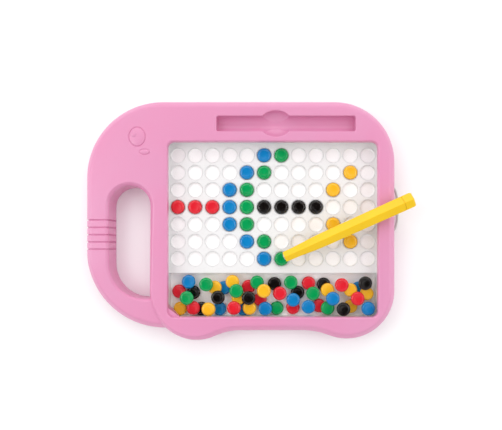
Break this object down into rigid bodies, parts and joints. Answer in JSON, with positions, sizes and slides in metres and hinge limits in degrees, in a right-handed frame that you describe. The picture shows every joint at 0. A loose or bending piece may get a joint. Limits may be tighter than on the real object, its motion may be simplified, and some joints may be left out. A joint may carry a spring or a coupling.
{
  "type": "magnetic bead drawing board",
  "caption": "Elephant-shaped magnetic drawing board with a dot grid, loose bead trough, magnet pen, pen tray, trunk handle and cord loop.",
  "frame": {"origin": "on the flat back face, under the centre of the drawing window", "axes": "+X from the trunk handle to the cord side, +Y from the bead trough to the pen tray, +Z out of the drawing face"},
  "size_m": [0.2718, 0.1999, 0.0403],
  "materials": {
    "pink_shell": "satin moulded",
    "clear_pane": "clear polished plastic",
    "white_tray": "satin moulded",
    "steel": "zinc plated",
    "cord": "braided",
    "yellow_pen": "satin moulded",
    "magnet": "nickel plated",
    "red_bead": "gloss",
    "blue_bead": "gloss",
    "green_bead": "gloss",
    "yellow_bead": "gloss",
    "black_bead": "gloss"
  },
  "bodies": {
    "board": {"front_shell": "pink_shell", "back_shell": "pink_shell", "window_pane": "clear_pane", "dot_tray": "white_tray", "case_screws": "steel", "cord_loop": "cord", "cord_knots": "cord"},
    "pen": {"pen_barrel": "yellow_pen", "pen_end_plug": "yellow_pen", "pen_magnet": "magnet"},
    "carried_bead": {"carried_bead": "green_bead"},
    "low_beads": {"low_beads_red": "red_bead", "low_beads_blue": "blue_bead", "low_beads_green": "green_bead", "low_beads_yellow": "yellow_bead", "low_beads_black": "black_bead"},
    "mid_beads": {"mid_beads_red": "red_bead", "mid_beads_blue": "blue_bead", "mid_beads_green": "green_bead", "mid_beads_yellow": "yellow_bead"},
    "top_beads": {"top_beads_red": "red_bead", "top_beads_blue": "blue_bead", "top_beads_green": "green_bead", "top_beads_yellow": "yellow_bead", "top_beads_black": "black_bead"},
    "bead_blue_1": {"bead_blue_1": "blue_bead"},
    "bead_green_1": {"bead_green_1": "green_bead"},
    "bead_blue_2": {"bead_blue_2": "blue_bead"},
    "bead_green_2": {"bead_green_2": "green_bead"},
    "bead_yellow_1": {"bead_yellow_1": "yellow_bead"},
    "bead_blue_3": {"bead_blue_3": "blue_bead"},
    "bead_green_3": {"bead_green_3": "green_bead"},
    "bead_yellow_2": {"bead_yellow_2": "yellow_bead"},
    "bead_red_1": {"bead_red_1": "red_bead"},
    "bead_red_2": {"bead_red_2": "red_bead"},
    "bead_red_3": {"bead_red_3": "red_bead"},
    "bead_blue_4": {"bead_blue_4": "blue_bead"},
    "bead_green_4": {"bead_green_4": "green_bead"},
    "bead_black_1": {"bead_black_1": "black_bead"},
    "bead_black_2": {"bead_black_2": "black_bead"},
    "bead_black_3": {"bead_black_3": "black_bead"},
    "bead_black_4": {"bead_black_4": "black_bead"},
    "bead_blue_5": {"bead_blue_5": "blue_bead"},
    "bead_green_5": {"bead_green_5": "green_bead"},
    "bead_yellow_3": {"bead_yellow_3": "yellow_bead"},
    "bead_blue_6": {"bead_blue_6": "blue_bead"},
    "bead_green_6": {"bead_green_6": "green_bead"},
    "bead_yellow_4": {"bead_yellow_4": "yellow_bead"},
    "bead_blue_7": {"bead_blue_7": "blue_bead"}
  },
  "joints": [
    {"name": "bead_drag", "type": "slide", "parent": "board", "child": "carried_bead", "axis": [0, 1, 0], "range_m": [-0.042, 0.029]},
    {"name": "pen_lift", "type": "slide", "parent": "carried_bead", "child": "pen", "axis": [0, 0, 1], "range_m": [0, 0.045]},
    {"name": "low_beads_roll", "type": "slide", "parent": "board", "child": "low_beads", "axis": [1, 0, 0], "range_m": [-0.001, 0.001]},
    {"name": "mid_beads_roll", "type": "slide", "parent": "board", "child": "mid_beads", "axis": [1, 0, 0], "range_m": [-0.001, 0.001]},
    {"name": "top_beads_roll", "type": "slide", "parent": "board", "child": "top_beads", "axis": [1, 0, 0], "range_m": [-0.001, 0.001]},
    {"name": "bead_blue_1_lift", "type": "slide", "parent": "board", "child": "bead_blue_1", "axis": [0, 0, 1], "range_m": [0, 0.0022]},
    {"name": "bead_green_1_lift", "type": "slide", "parent": "board", "child": "bead_green_1", "axis": [0, 0, 1], "range_m": [0, 0.0022]},
    {"name": "bead_blue_2_lift", "type": "slide", "parent": "board", "child": "bead_blue_2", "axis": [0, 0, 1], "range_m": [0, 0.0022]},
    {"name": "bead_green_2_lift", "type": "slide", "parent": "board", "child": "bead_green_2", "axis": [0, 0, 1], "range_m": [0, 0.0022]},
    {"name": "bead_yellow_1_lift", "type": "slide", "parent": "board", "child": "bead_yellow_1", "axis": [0, 0, 1], "range_m": [0, 0.0022]},
    {"name": "bead_blue_3_lift", "type": "slide", "parent": "board", "child": "bead_blue_3", "axis": [0, 0, 1], "range_m": [0, 0.0022]},
    {"name": "bead_green_3_lift", "type": "slide", "parent": "board", "child": "bead_green_3", "axis": [0, 0, 1], "range_m": [0, 0.0022]},
    {"name": "bead_yellow_2_lift", "type": "slide", "parent": "board", "child": "bead_yellow_2", "axis": [0, 0, 1], "range_m": [0, 0.0022]},
    {"name": "bead_red_1_lift", "type": "slide", "parent": "board", "child": "bead_red_1", "axis": [0, 0, 1], "range_m": [0, 0.0022]},
    {"name": "bead_red_2_lift", "type": "slide", "parent": "board", "child": "bead_red_2", "axis": [0, 0, 1], "range_m": [0, 0.0022]},
    {"name": "bead_red_3_lift", "type": "slide", "parent": "board", "child": "bead_red_3", "axis": [0, 0, 1], "range_m": [0, 0.0022]},
    {"name": "bead_blue_4_lift", "type": "slide", "parent": "board", "child": "bead_blue_4", "axis": [0, 0, 1], "range_m": [0, 0.0022]},
    {"name": "bead_green_4_lift", "type": "slide", "parent": "board", "child": "bead_green_4", "axis": [0, 0, 1], "range_m": [0, 0.0022]},
    {"name": "bead_black_1_lift", "type": "slide", "parent": "board", "child": "bead_black_1", "axis": [0, 0, 1], "range_m": [0, 0.0022]},
    {"name": "bead_black_2_lift", "type": "slide", "parent": "board", "child": "bead_black_2", "axis": [0, 0, 1], "range_m": [0, 0.0022]},
    {"name": "bead_black_3_lift", "type": "slide", "parent": "board", "child": "bead_black_3", "axis": [0, 0, 1], "range_m": [0, 0.0022]},
    {"name": "bead_black_4_lift", "type": "slide", "parent": "board", "child": "bead_black_4", "axis": [0, 0, 1], "range_m": [0, 0.0022]},
    {"name": "bead_blue_5_lift", "type": "slide", "parent": "board", "child": "bead_blue_5", "axis": [0, 0, 1], "range_m": [0, 0.0022]},
    {"name": "bead_green_5_lift", "type": "slide", "parent": "board", "child": "bead_green_5", "axis": [0, 0, 1], "range_m": [0, 0.0022]},
    {"name": "bead_yellow_3_lift", "type": "slide", "parent": "board", "child": "bead_yellow_3", "axis": [0, 0, 1], "range_m": [0, 0.0022]},
    {"name": "bead_blue_6_lift", "type": "slide", "parent": "board", "child": "bead_blue_6", "axis": [0, 0, 1], "range_m": [0, 0.0022]},
    {"name": "bead_green_6_lift", "type": "slide", "parent": "board", "child": "bead_green_6", "axis": [0, 0, 1], "range_m": [0, 0.0022]},
    {"name": "bead_yellow_4_lift", "type": "slide", "parent": "board", "child": "bead_yellow_4", "axis": [0, 0, 1], "range_m": [0, 0.0022]},
    {"name": "bead_blue_7_lift", "type": "slide", "parent": "board", "child": "bead_blue_7", "axis": [0, 0, 1], "range_m": [0, 0.0022]}
  ]
}
